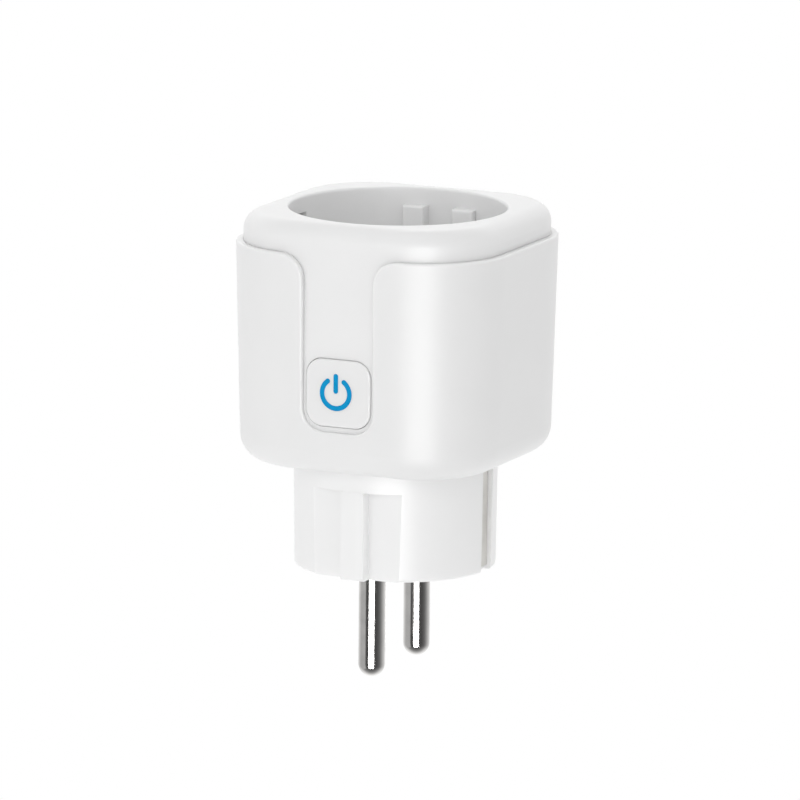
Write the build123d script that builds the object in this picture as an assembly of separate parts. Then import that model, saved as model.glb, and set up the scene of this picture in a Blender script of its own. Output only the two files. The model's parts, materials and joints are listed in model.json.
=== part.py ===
from build123d import *
import math
import os

# Smart plug for round two-pin sockets with side earth contacts, in millimetres.
# Origin: centre of the plug's engagement face. +Z points up to the socket side,
# -Y to the button, and the two pins stand on the Y axis.

# --- driving dimensions -----------------------------------------------------------------
PIN_SPACING = 19.0
PIN_R = 2.4
PIN_LENGTH = 19.0
NECK_R = 18.0
NECK_TAPER = 0.7
NECK_TOP = 21.8
NECK_EDGE_R = 0.6
NECK_FLOOR = 2.5
NECK_WALL = 2.0
NECK_GAP = 0.35
FACET_Y = 16.0
FACET_TOP = 16.0
FACET_RIB_WIDTH = 4.4
FACET_RIB_Y = 18.3
FACET_REACH = 12.0
EARTH_GROOVE_WIDTH = 4.2
EARTH_GROOVE_X = 16.4

SLEEVE_BOTTOM = 19.8
SLEEVE_TOP = 59.3
SLEEVE_HALF = 25.5
SLEEVE_CORNER_R = 15.9
SLEEVE_TAPER = 1.5
SLEEVE_WALL = 1.6
SLEEVE_FLOOR = 2.0
SLEEVE_EDGE_R = 4.8
SLOT_HALF = 6.85
SLOT_BOTTOM = 27.85
SLOT_CORNER_R = 4.1
SLOT_FLARE_R = 4.5
SLEEVE_RIM_R = 0.4
FIT_GAP = 0.1
SLIP_GAP = 0.05
SNAP_Z = (54.2, 55.6)
SNAP_HALF = 4.0
SNAP_REACH = 0.7

CAP_HALF = 24.15
CAP_CORNER_R = 14.5
CAP_EDGE_R = 3.3
TOP_Z = 64.6
RECESS_R = 19.4
RECESS_DEPTH = 17.5
RECESS_RIM_R = 0.45
CUP_WALL = 1.5
CUP_FLOOR = 2.0
SKIRT_BOTTOM = 52.0
SKIRT_HALF = 23.45
SKIRT_WALL = 1.2
SKIRT_CORNER_R = 13.8
ROOF_RISE = 1.8
GUIDE_GAP_HALF = 2.8
GUIDE_OUTER_X = 6.9
GUIDE_Y = 16.6
GUIDE_DROP = 3.1
GUIDE_EDGE_R = 0.4
SOCKET_HOLE_R = 2.7
CLIP_POCKET_HALF = 2.6
CLIP_POCKET_DROP = 3.0
CLIP_POCKET_DEPTH = 0.6
CLIP_POCKET_WALL = 1.2

STRIP_THICK = 1.55
STRIP_GAP = 0.02
BACKING_THICK = 1.2
BACKING_HALF = 9.5
BACKING_BOTTOM = 25.2

BUTTON_Z = 34.9
BUTTON_WIDTH = 12.5
BUTTON_HEIGHT = 12.1
BUTTON_CORNER_R = 3.1
BUTTON_RISE = 0.35
BUTTON_TRAVEL = 0.45
BUTTON_FACE_WALL = 1.2
BUTTON_SIDE_WALL = 1.1
BUTTON_EDGE_R = 0.35
BUTTON_FLANGE = 0.8
BUTTON_FLANGE_SIZE = 14.8
PUSHER_R = 1.7
INLAY_DEPTH = 1.0
ICON_X = -0.4
ICON_R = 3.1
ICON_STROKE = 0.9
ICON_GAP = 36.0
ICON_BAR_TOP = 3.55

CARRIER_TOP = 8.5
CARRIER_R = 13.4
CARRIER_POST_X = 9.5
CARRIER_POST_R = 2.1
PIN_SHOULDER_R = 2.8
PIN_COLLAR_R = 3.4
PIN_COLLAR_TOP = 4.0
PIN_STEM_R = 1.6
RIVET_R = 1.2
RIVET_HEAD_R = 1.9
RISER_THICK = 0.8
RISER_Y = 12.4
RISER_HALF = 2.0
RISER_FOOT_HALF = 2.6
RISER_RISE = 1.2

STRIP_METAL = 0.6
EARTH_WIDTH = 3.8
EARTH_RISER_X = 20.5
EARTH_NECK_X = 16.85
EARTH_CLIP_X = 18.3
EARTH_CLIP_Z = 55.0
EARTH_START = 0.8
EARTH_CLIP_RISE = 2.0
EARTH_BENDS = [0.5, 0.5, 3.0, 2.0]

FLANGE_THICK = 2.4
POST_XY = 13.4
POST_R = 2.3
SCREW_R = 1.2
THREAD_GAP = 0.02
SCREW_HEAD_R = 2.1
SCREW_HEAD_H = 1.5
SCREW_DEPTH = 9.0
SCREW_SLOT = (1.5, 0.3, 0.7)
SMALL_SCREW_R = 0.9
SMALL_HEAD_R = 2.0
SMALL_HEAD_H = 1.2
SMALL_SCREW_LENGTH = 5.0
SMALL_SLOT = (1.3, 0.25, 0.6)
HOLDER_SCREW_X = 15.6

CONTACT_BOTTOM = 30.0
CONTACT_R = 2.45
HOLDER_BOTTOM = 40.5
HOLDER_TOP = 42.3
HOLDER_ARM = (17.6, 4.0)
HOLDER_PLATE = (10.6, 14.6)
HOLDER_WALL = 1.1
SHUTTER_STOP_X = (-5.4, -4.2)
SHUTTER_STOP_Y = 5.5
POCKET_HALF = 4.8
POCKET_WALL = 1.2
POCKET_ROOF = 0.4
CONTACT_SLOT = 1.0
CONTACT_TAIL_X = (2.5, 3.1)
CONTACT_TAIL_HALF = 1.4
PAD_HALF = 3.05
PAD_WIDTH = 7.8
PAD_TOE = 1.0
PAD_CREST = 1.2
BRIDGE_BACK = -1.6
BRIDGE_HALF = 6.0
SPRING_SEAT_HALF = 1.2
SPRING_START = 4.2
SPRING_END = 12.4
SPRING_R = 1.0
SPRING_WIRE = 0.17
SPRING_TURNS = 6
SPRING_WALL = 0.9
SPRING_WALL_HALF = 2.4

BOARD_THICK = 1.4
BOARD_BOTTOM = 25.6
BOARD_HALF = 19.4
BOARD_CORNER_R = 9.0
CONTROL_FRONT = -16.5
CONTROL_BACK = -15.1
CONTROL_HALF = 10.6
WIFI_FRONT = 17.0
WIFI_BACK = 18.0
WIFI_HALF = 8.0
UPRIGHT_TOP = 44.0
PLUNGER_R = 1.6
PLUNGER_DEPTH = 0.7
SWITCH_HALF = 3.0
LAMP_X = 4.6
LAMP_SIZE = (0.8, 1.1, 0.6)
GUIDE_PLATE = 1.4

SHIELD_X = 6.2
SHIELD_Z = (28.4, 38.8)
SHIELD_DEPTH = 2.2
SHIELD_WALL = 0.3
ANTENNA_WIDTH = 0.6
ANTENNA_THICK = 0.1
ANTENNA_START = -6.8
ANTENNA_PITCH = 2.4
ANTENNA_LEGS = 5
ANTENNA_Z = (39.6, 43.4)

CAN_EDGE_R = 0.5
CAN_GROOVE_Z = 1.8
CAN_GROOVE_R = 0.35
INDUCTOR_AT = (-16.4, -5.8)
INDUCTOR_HEIGHT = 8.0
INDUCTOR_FLANGE = 1.2
INDUCTOR_RADII = (1.1, 2.1, 2.4)
VARISTOR_X = (-17.8, -14.4)
VARISTOR_YZ = (3.6, 5.6)
VARISTOR_R = 4.4
VARISTOR_EDGE_R = 1.2
VARISTOR_LEG_R = 0.35
VARISTOR_LEG_Y = (1.2, 6.0)
RESISTOR_X = (-12.8, -6.6)
RESISTOR_YZ = (8.7, 1.7)
RESISTOR_R = 1.5
HEADER_HALF = 5.0
HEADER_SIZE = (1.6, 1.8)
HEADER_PINS = 4
HEADER_PITCH = 2.5
HEADER_PIN_R = 0.3
HEADER_PIN_RISE = 0.5

RELAY_X = (6.6, 17.4)
RELAY_Y = (-9.0, 9.0)
RELAY_TOP = 38.8
RELAY_WALL = 0.8
RELAY_BASE = 1.6
RELAY_EDGE_R = 0.6
YOKE_THICK = 1.0
PIVOT_BEAD_R = 0.35
COIL_X = 12.0
COIL_Y = -2.4
COIL_R = 3.9
COIL_TOP = 35.4
CORE_R = 1.4
ARMATURE_HALF = 2.5
ARMATURE_THICK = 1.0
ARMATURE_PIVOT_Y = -7.1
CONTACT_BUTTON_Y = 4.9
CONTACT_BUTTON_R = 1.1
CONTACT_BUTTON_H = 0.6
ARMATURE_TAIL = 0.4
TERMINAL_HALF = 1.5
TERMINAL_Y = (6.3, 7.1)
TERMINAL_Z = (33.6, 34.4)
TERMINAL_REACH = 3.8

# --- values that follow from them, and how far cutting shapes run past what they cut ------
PIN_Y = PIN_SPACING / 2
RECESS_FLOOR = TOP_Z - RECESS_DEPTH
CUP_BOTTOM = RECESS_FLOOR - CUP_FLOOR
CUP_R = RECESS_R + CUP_WALL
CAVITY_BOTTOM = SLEEVE_BOTTOM + SLEEVE_FLOOR
FLANGE_TOP = CAVITY_BOTTOM + FLANGE_THICK
BOARD_TOP = BOARD_BOTTOM + BOARD_THICK
STRIP_FACE = -CAP_HALF
BUTTON_FACE = STRIP_FACE - BUTTON_RISE
STRIP_BACK = STRIP_FACE + STRIP_THICK
BACKING_BACK = STRIP_BACK + BACKING_THICK
SHUTTER_BOTTOM = HOLDER_TOP + 0.1
SHUTTER_TOP = CUP_BOTTOM - 0.15
SHUTTER_MIDDLE = (SHUTTER_BOTTOM + SHUTTER_TOP) / 2
BUTTON_FLANGE_FRONT = BACKING_BACK + SLIP_GAP
BUTTON_FLANGE_BACK = BUTTON_FLANGE_FRONT + BUTTON_FLANGE
SWITCH_FRONT = BUTTON_FLANGE_BACK + BUTTON_TRAVEL + SLIP_GAP
RELAY_BASE_TOP = BOARD_TOP + RELAY_BASE
CORE_TOP = COIL_TOP + 0.5
ARMATURE_Z = CORE_TOP + 0.4
CORNERS = [(x, y) for x in (-POST_XY, POST_XY) for y in (-POST_XY, POST_XY)]
PAST = 1.0
OUTSIDE = 30.0


# --- helpers ------------------------------------------------------------------------------
def block(x, y, z):
    """A box from its (low, high) limits on each axis."""
    size = [span[1] - span[0] for span in (x, y, z)]
    middle = [(span[0] + span[1]) / 2 for span in (x, y, z)]
    return Pos(*middle) * Box(*size)


def post(x, y, z, radius):
    """A cylinder that stands along Z between its two heights."""
    return Pos(x, y, (z[0] + z[1]) / 2) * Cylinder(radius, z[1] - z[0])


def rod_x(x, y, z, radius):
    return Pos((x[0] + x[1]) / 2, y, z) * Rot(0, 90, 0) * Cylinder(radius, x[1] - x[0])


def rod_y(x, y, z, radius):
    return Pos(x, (y[0] + y[1]) / 2, z) * Rot(90, 0, 0) * Cylinder(radius, y[1] - y[0])


def front_plane(y):
    """A sketch plane that faces -Y, with its own X along +X and its own Y along +Z."""
    return Plane(origin=(0, y, 0), x_dir=(1, 0, 0), z_dir=(0, -1, 0))


def edges_at(shape, z, tolerance=0.01):
    """The edges that lie whole in the plane at height z."""
    return [e for e in shape.edges() if abs(e.bounding_box().min.Z - z) < tolerance
            and abs(e.bounding_box().max.Z - z) < tolerance]


def tapered_blank(half_top, corner_r, bottom, edge_r):
    """The body's rounded-square form, narrower downward, with a rounded bottom edge."""
    outline = Plane(origin=(0, 0, SLEEVE_TOP), z_dir=(0, 0, -1)) * RectangleRounded(
        2 * half_top, 2 * half_top, corner_r)
    blank = extrude(outline, SLEEVE_TOP - bottom, taper=SLEEVE_TAPER)
    return fillet(edges_at(blank, bottom), edge_r)


def slot_profile(gap):
    """Front slot with a round bottom and a flare at its top, set in by gap all round."""
    half = SLOT_HALF - gap
    bottom = SLOT_BOTTOM + gap
    flare = SLOT_FLARE_R + gap
    slot = Pos(0, (bottom + SLEEVE_TOP) / 2) * Rectangle(2 * half, SLEEVE_TOP - bottom)
    slot = fillet(slot.vertices().sort_by(Axis.Y)[:2], SLOT_CORNER_R - gap)
    for side in (-1, 1):
        corner = Pos(side * (half + flare / 2), SLEEVE_TOP - flare / 2) * Rectangle(flare, flare)
        corner -= Pos(side * (half + flare), SLEEVE_TOP - flare) * Circle(flare)
        slot += corner
    return slot


# --- outer shells -------------------------------------------------------------------------
def snap_bars(gap):
    """The ridges on the skirt's sides and back that hold the sleeve up, grown by gap."""
    z = (SNAP_Z[0] - gap, SNAP_Z[1] + gap)
    across = (-SNAP_HALF - gap, SNAP_HALF + gap)
    reach = SKIRT_HALF + SNAP_REACH + gap
    root = SKIRT_HALF - SKIRT_WALL / 2
    return [block((root, reach), across, z),
            block((-reach, -root), across, z),
            block(across, (root, reach), z)]


def outer_rim(shell):
    """The sleeve's outer top edge, and both edges of its front slot on the outer face."""
    lean = math.tan(math.radians(SLEEVE_TAPER))
    near = 0.02
    slot_reach = SLOT_HALF + SLOT_FLARE_R
    rim = []
    for edge in shell.edges():
        middle = edge @ 0.5
        reach = SLEEVE_HALF - (SLEEVE_TOP - middle.Z) * lean
        on_top = edge.bounding_box().min.Z > SLEEVE_TOP - near
        on_side = max(abs(middle.X), abs(middle.Y)) > reach - near
        on_corner = math.hypot(middle.X, middle.Y) > SLEEVE_HALF
        on_front = -middle.Y > reach - near
        by_slot = abs(middle.X) < slot_reach and middle.Z > SLOT_BOTTOM - PAST
        if (on_top and (on_side or on_corner)) or (on_front and by_slot):
            rim.append(edge)
    return rim


def outer_sleeve():
    shell = tapered_blank(SLEEVE_HALF, SLEEVE_CORNER_R, SLEEVE_BOTTOM, SLEEVE_EDGE_R)
    shell -= tapered_blank(SLEEVE_HALF - SLEEVE_WALL, SLEEVE_CORNER_R - SLEEVE_WALL,
                           CAVITY_BOTTOM, SLEEVE_EDGE_R - SLEEVE_WALL)
    shell -= post(0, 0, (SLEEVE_BOTTOM - PAST, CAVITY_BOTTOM + PAST), NECK_R + NECK_GAP)
    slot_depth = SLEEVE_HALF + PAST - SKIRT_HALF + SKIRT_WALL + PAST
    shell -= extrude(front_plane(-SLEEVE_HALF - PAST) * slot_profile(0), -slot_depth)
    for snap in snap_bars(FIT_GAP):
        shell -= snap
    return fillet(outer_rim(shell), SLEEVE_RIM_R)


def neck_form(bottom, top, inset):
    """The neck's round taper between two heights, set in by inset."""
    rise = math.tan(math.radians(NECK_TAPER))
    return Pos(0, 0, (bottom + top) / 2) * Cone(
        NECK_R + bottom * rise - inset, NECK_R + top * rise - inset, top - bottom)


def neck_facets():
    """What is cut from each pin side of the neck: two flats beside a middle rib."""
    cuts = []
    for side in (-1, 1):
        for end in (-1, 1):
            x = sorted((end * FACET_RIB_WIDTH / 2, end * FACET_REACH))
            y = sorted((side * FACET_Y, side * OUTSIDE))
            cuts.append(block(x, y, (-PAST, FACET_TOP)))
    return cuts


def base_neck():
    """The outside of the neck: a taper with two flats and a rib on each pin side."""
    neck = fillet(edges_at(neck_form(0, NECK_TOP, 0), 0), NECK_EDGE_R)
    rib_half = FACET_RIB_WIDTH / 2
    rib = block((-rib_half, rib_half), (-FACET_RIB_Y, FACET_RIB_Y), (0, FACET_TOP))
    neck += fillet([e for e in edges_at(rib, 0) if e.length < 2 * FACET_RIB_WIDTH], NECK_EDGE_R)
    for cut in neck_facets():
        neck -= cut
    return neck


def base_flange():
    """The plate round the neck's top that lies on the sleeve's floor."""
    flange = tapered_blank(SLEEVE_HALF - SLEEVE_WALL - FIT_GAP, SLEEVE_CORNER_R - SLEEVE_WALL - FIT_GAP,
                           CAVITY_BOTTOM, SLEEVE_EDGE_R - SLEEVE_WALL)
    return flange & block((-OUTSIDE, OUTSIDE), (-OUTSIDE, OUTSIDE), (CAVITY_BOTTOM, FLANGE_TOP))


def base_housing():
    """The neck and its flange, hollow, with the earth grooves and all their holes."""
    shell = base_neck() + base_flange()
    hollow = neck_form(NECK_FLOOR, FLANGE_TOP + PAST, NECK_WALL)
    wall_y = FACET_Y - NECK_WALL
    hollow &= block((-OUTSIDE, OUTSIDE), (-wall_y, wall_y), (NECK_FLOOR, FLANGE_TOP + PAST))
    half = EARTH_GROOVE_WIDTH / 2
    for side in (-1, 1):
        backing = sorted((side * (EARTH_GROOVE_X - NECK_WALL), side * OUTSIDE))
        groove = sorted((side * EARTH_GROOVE_X, side * (NECK_R + NECK_GAP + FIT_GAP)))
        hollow -= block(backing, (-half - NECK_WALL, half + NECK_WALL), (0, FLANGE_TOP + 2 * PAST))
        shell -= block(groove, (-half, half), (-PAST, FLANGE_TOP + PAST))
    shell -= hollow
    for y in (-PIN_Y, PIN_Y):
        shell -= post(0, y, (-PAST, NECK_FLOOR + PAST), PIN_SHOULDER_R + SLIP_GAP)
    for x in (-CARRIER_POST_X, CARRIER_POST_X):
        shell += post(x, 0, (NECK_FLOOR, CARRIER_TOP - 2 * FIT_GAP), CARRIER_POST_R)
        shell -= post(x, 0, (CARRIER_TOP - SMALL_SCREW_LENGTH - PAST, CARRIER_TOP), SMALL_SCREW_R)
    for x, y in CORNERS:
        head = (CAVITY_BOTTOM - PAST, CAVITY_BOTTOM + SCREW_HEAD_H)
        shell -= post(x, y, (CAVITY_BOTTOM - PAST, FLANGE_TOP + PAST), SCREW_R + FIT_GAP)
        shell -= post(x, y, head, SCREW_HEAD_R + FIT_GAP)
    return shell


def strip_and_backing():
    """The front strip that fills the sleeve's slot, with a wider backing behind it."""
    strip = extrude(front_plane(STRIP_FACE) * slot_profile(STRIP_GAP), -STRIP_THICK)
    backing = block((-BACKING_HALF, BACKING_HALF), (STRIP_BACK, BACKING_BACK),
                    (BACKING_BOTTOM, SLEEVE_TOP))
    hole = front_plane(STRIP_FACE - PAST) * button_outline(-FIT_GAP)
    return strip + backing - extrude(hole, -STRIP_THICK - BACKING_THICK - 2 * PAST)


def housing_cap():
    """The cap with its rounded top edge, the skirt inside the sleeve, and the roof between."""
    outline = Pos(0, 0, SLEEVE_TOP) * RectangleRounded(2 * CAP_HALF, 2 * CAP_HALF, CAP_CORNER_R)
    cap = extrude(outline, TOP_Z - SLEEVE_TOP)
    cap = fillet(edges_at(cap, TOP_Z), CAP_EDGE_R)
    skirt = Pos(0, 0, SKIRT_BOTTOM) * RectangleRounded(2 * SKIRT_HALF, 2 * SKIRT_HALF, SKIRT_CORNER_R)
    inner = SKIRT_HALF - SKIRT_WALL
    hollow = Pos(0, 0, SKIRT_BOTTOM) * RectangleRounded(2 * inner, 2 * inner, SKIRT_CORNER_R - SKIRT_WALL)
    return (cap + extrude(skirt, SLEEVE_TOP - SKIRT_BOTTOM)
            - extrude(hollow, SLEEVE_TOP + ROOF_RISE - SKIRT_BOTTOM))


def socket_recess():
    """The space of the round recess, less the two pairs of guide ribs in the pins' line."""
    recess = post(0, 0, (RECESS_FLOOR, TOP_Z + PAST), RECESS_R)
    for side in (-1, 1):
        for end in (-1, 1):
            x = sorted((end * GUIDE_GAP_HALF, end * GUIDE_OUTER_X))
            y = sorted((side * GUIDE_Y, side * (RECESS_R + PAST)))
            recess -= guide_rib(x, y)
    return recess


def guide_rib(x, y):
    """One guide rib, with round edges where it faces the middle of the recess."""
    rib = block(x, y, (RECESS_FLOOR, TOP_Z - GUIDE_DROP))
    inner = [e for e in rib.edges()
             if abs((e @ 0.5).Y) < GUIDE_Y + SLIP_GAP and (e @ 0.5).Z > RECESS_FLOOR + SLIP_GAP]
    return fillet(inner, GUIDE_EDGE_R)


def recess_rim(housing):
    """The round edge where the recess meets the top face."""
    return [e for e in edges_at(housing, TOP_Z)
            if e.geom_type == GeomType.CIRCLE and abs(e.radius - RECESS_R) < SLIP_GAP]


def upper_housing():
    """The cap, socket recess, front strip and inner posts, moulded as one piece."""
    housing = housing_cap()
    housing += post(0, 0, (CUP_BOTTOM, TOP_Z - CAP_EDGE_R), CUP_R)
    clip_backing = CUP_R + CLIP_POCKET_DEPTH + PAST
    for side in (-1, 1):
        x = sorted((side * (RECESS_R - PAST), side * clip_backing))
        half = CLIP_POCKET_HALF + CLIP_POCKET_WALL
        housing += block(x, (-half, half), (CUP_BOTTOM, SLEEVE_TOP + ROOF_RISE))
    housing += strip_and_backing()
    for snap in snap_bars(0):
        housing += snap
    for x, y in CORNERS:
        housing += post(x, y, (FLANGE_TOP, CUP_BOTTOM), POST_R)
        housing -= post(x, y, (FLANGE_TOP - PAST, FLANGE_TOP + SCREW_DEPTH + PAST), SCREW_R)
    for x in (-HOLDER_SCREW_X, HOLDER_SCREW_X):
        housing += post(x, 0, (HOLDER_TOP, CUP_BOTTOM), POST_R)
    housing -= socket_recess()
    housing = fillet(recess_rim(housing), RECESS_RIM_R)
    for side in (-1, 1):
        x = sorted((side * (RECESS_R - 2 * PAST), side * (CUP_R + CLIP_POCKET_DEPTH)))
        housing -= block(x, (-CLIP_POCKET_HALF, CLIP_POCKET_HALF),
                         (CUP_BOTTOM - PAST, TOP_Z - CLIP_POCKET_DROP))
    for y in (-PIN_Y, PIN_Y):
        housing -= post(0, y, (CUP_BOTTOM - PAST, RECESS_FLOOR + PAST), SOCKET_HOLE_R)
    for x in (-HOLDER_SCREW_X, HOLDER_SCREW_X):
        housing -= post(x, 0, (HOLDER_TOP - PAST, RECESS_FLOOR - PAST), SMALL_SCREW_R)
    return housing


# --- plug pins and earth path ---------------------------------------------------------------
def plug_pin(y):
    """A round pin with a domed tip, a shoulder and collar in the neck, and a riveted end."""
    shaft = post(0, 0, (-PIN_LENGTH, 0), PIN_R)
    pin = fillet(edges_at(shaft, -PIN_LENGTH), PIN_R - SLIP_GAP)
    pin += post(0, 0, (0, NECK_FLOOR), PIN_SHOULDER_R)
    pin += post(0, 0, (NECK_FLOOR, PIN_COLLAR_TOP), PIN_COLLAR_R)
    pin += post(0, 0, (PIN_COLLAR_TOP, CARRIER_TOP), PIN_STEM_R)
    pin += post(0, 0, (CARRIER_TOP, CARRIER_TOP + RISER_THICK), RIVET_R)
    pin += post(0, 0, (CARRIER_TOP + RISER_THICK, CARRIER_TOP + 2 * RISER_THICK), RIVET_HEAD_R)
    return Pos(0, y, 0) * pin


def pin_carrier():
    """The insulating plate that clamps both pins' collars to the neck's floor."""
    plate = post(0, 0, (NECK_FLOOR, CARRIER_TOP), CARRIER_R)
    for y in (-PIN_Y, PIN_Y):
        plate -= post(0, y, (NECK_FLOOR - PAST, PIN_COLLAR_TOP), PIN_COLLAR_R + SLIP_GAP)
        plate -= post(0, y, (NECK_FLOOR, CARRIER_TOP + PAST), PIN_STEM_R + SLIP_GAP)
    for x in (-CARRIER_POST_X, CARRIER_POST_X):
        plate -= post(x, 0, (NECK_FLOOR - PAST, CARRIER_TOP + PAST), CARRIER_POST_R + FIT_GAP)
    return plate


def pin_riser(side):
    """A brass strip from a pin's riveted end up through the power board."""
    foot = block((-RISER_FOOT_HALF, RISER_FOOT_HALF),
                 sorted((side * (PIN_Y - RISER_FOOT_HALF), side * RISER_Y)),
                 (CARRIER_TOP, CARRIER_TOP + RISER_THICK))
    foot -= post(0, side * PIN_Y, (CARRIER_TOP - PAST, CARRIER_TOP + 2 * PAST), RIVET_R)
    upright = block((-RISER_HALF, RISER_HALF), sorted((side * (RISER_Y - RISER_THICK), side * RISER_Y)),
                    (CARRIER_TOP, BOARD_TOP + RISER_RISE))
    return foot + upright


def earth_strip(side):
    """The earth path of one side: neck contact, jog over the flange, riser and socket clip."""
    jog = FLANGE_TOP + STRIP_METAL / 2 + SLIP_GAP
    clip_top = TOP_Z - CLIP_POCKET_DROP - STRIP_METAL - FIT_GAP
    path = FilletPolyline(
        (EARTH_NECK_X, EARTH_START), (EARTH_NECK_X, jog), (EARTH_RISER_X, jog),
        (EARTH_RISER_X, RECESS_FLOOR + EARTH_CLIP_RISE), (EARTH_CLIP_X, EARTH_CLIP_Z),
        (EARTH_RISER_X, clip_top), radius=EARTH_BENDS)
    outline = Plane.XZ * trace(path, STRIP_METAL)
    strip = extrude(outline, EARTH_WIDTH / 2, both=True)
    if side < 0:
        strip = Rot(0, 0, 180) * strip
    return strip


def earth_link():
    """A flat bar across the neck's mouth that joins both earth strips."""
    reach = EARTH_NECK_X - STRIP_METAL / 2
    z = (FLANGE_TOP + SLIP_GAP, FLANGE_TOP + SLIP_GAP + STRIP_METAL)
    return block((-reach, reach), (-EARTH_WIDTH / 2, EARTH_WIDTH / 2), z)


# --- socket side ------------------------------------------------------------------------------
def contact_holder():
    """The plate under the socket floor, with the shutter's rails and a pocket per contact."""
    arm_x, arm_y = HOLDER_ARM
    reach_x, reach_y = HOLDER_PLATE
    plate = block((-arm_x, arm_x), (-arm_y, arm_y), (HOLDER_BOTTOM, HOLDER_TOP))
    plate += block((-reach_x, reach_x), (-reach_y, reach_y), (HOLDER_BOTTOM, HOLDER_TOP))
    for y in (-PIN_Y, PIN_Y):
        half = POCKET_HALF
        plate += block((-half, half), (y - half, y + half), (CONTACT_BOTTOM - 0.5 * PAST, HOLDER_BOTTOM))
        half = POCKET_HALF - POCKET_WALL
        plate -= block((-half, half), (y - half, y + half),
                       (CONTACT_BOTTOM - PAST, HOLDER_BOTTOM - POCKET_ROOF))
        plate -= post(0, y, (HOLDER_BOTTOM - PAST, HOLDER_TOP + PAST), SOCKET_HOLE_R)
    rail_y = reach_y - HOLDER_WALL
    for side in (-1, 1):
        rail = sorted((side * rail_y, side * reach_y))
        stop = sorted((side * SHUTTER_STOP_Y, side * rail_y))
        plate += block((SHUTTER_STOP_X[0], reach_x), rail, (HOLDER_TOP, CUP_BOTTOM))
        plate += block(SHUTTER_STOP_X, stop, (HOLDER_TOP, CUP_BOTTOM))
    plate += block((SPRING_END, SPRING_END + SPRING_WALL), (-SPRING_WALL_HALF, SPRING_WALL_HALF),
                   (HOLDER_TOP, CUP_BOTTOM))
    for x in (-HOLDER_SCREW_X, HOLDER_SCREW_X):
        plate -= post(x, 0, (HOLDER_BOTTOM - PAST, HOLDER_TOP + PAST), SMALL_SCREW_R + 2 * FIT_GAP)
    return plate


def socket_contact(side):
    """A split sprung tube that grips the guest plug's pin, with a tail into the board."""
    y = side * PIN_Y
    tube = post(0, y, (CONTACT_BOTTOM, HOLDER_BOTTOM - POCKET_ROOF - FIT_GAP), CONTACT_R + STRIP_METAL)
    tube -= post(0, y, (CONTACT_BOTTOM - PAST, HOLDER_BOTTOM), CONTACT_R)
    half = CONTACT_SLOT / 2
    tube -= block((-POCKET_HALF, 0), (y - half, y + half), (CONTACT_BOTTOM - PAST, HOLDER_BOTTOM))
    tail = block(CONTACT_TAIL_X, (y - CONTACT_TAIL_HALF, y + CONTACT_TAIL_HALF),
                 (BOARD_BOTTOM - STRIP_METAL, CONTACT_BOTTOM + PAST))
    tail -= post(0, y, (CONTACT_BOTTOM, CONTACT_BOTTOM + 2 * PAST), CONTACT_R)
    return tube + tail


def shutter():
    """The sliding child guard: two ramped pads under the pin holes and a bridge."""
    ramp = Polyline((-PAD_HALF, SHUTTER_BOTTOM), (PAD_HALF, SHUTTER_BOTTOM),
                    (PAD_HALF, SHUTTER_TOP), (PAD_HALF - PAD_CREST, SHUTTER_TOP),
                    (-PAD_HALF, SHUTTER_BOTTOM + PAD_TOE), close=True)
    profile = Plane.XZ * make_face(ramp)
    height = (SHUTTER_BOTTOM, SHUTTER_TOP)
    slider = block((BRIDGE_BACK, PAD_HALF), (-BRIDGE_HALF, BRIDGE_HALF), height)
    for y in (-PIN_Y, PIN_Y):
        slider += Pos(0, y + PAD_WIDTH / 2, 0) * extrude(profile, PAD_WIDTH)
    seat = block((PAD_HALF, SPRING_START - SLIP_GAP / 2), (-SPRING_SEAT_HALF, SPRING_SEAT_HALF), height)
    return slider + seat


def shutter_spring():
    """A small compression spring that pushes the shutter back over the pin holes."""
    height = SPRING_END - SPRING_START - 2 * SPRING_WIRE
    coil = Helix(pitch=height / SPRING_TURNS, height=height, radius=SPRING_R)
    start = Plane(origin=coil @ 0, z_dir=coil % 0)
    wire = sweep(start * Circle(SPRING_WIRE), path=coil, is_frenet=True)
    return Pos(SPRING_START + SPRING_WIRE, 0, SHUTTER_MIDDLE) * Rot(0, 90, 0) * wire


# --- button -----------------------------------------------------------------------------------
def power_icon(depth):
    """The power symbol: an open ring and an upright bar, both with round ends."""
    middle_r = ICON_R - ICON_STROKE / 2
    plane = front_plane(BUTTON_FACE) * Pos(ICON_X, BUTTON_Z)
    sweep_angle = 360 - 2 * ICON_GAP
    arc = CenterArc((0, 0), middle_r, 90 + ICON_GAP, sweep_angle)
    ring = trace(arc, ICON_STROKE)
    for end in (arc @ 0, arc @ 1):
        ring += Pos(end.X, end.Y) * Circle(ICON_STROKE / 2)
    half = ICON_STROKE / 2
    bar = Pos(0, ICON_BAR_TOP / 2) * Rectangle(ICON_STROKE, ICON_BAR_TOP - ICON_STROKE)
    for y in (half, ICON_BAR_TOP - half):
        bar += Pos(0, y) * Circle(half)
    return [extrude(plane * ring, -depth), extrude(plane * bar, -depth)]


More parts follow.
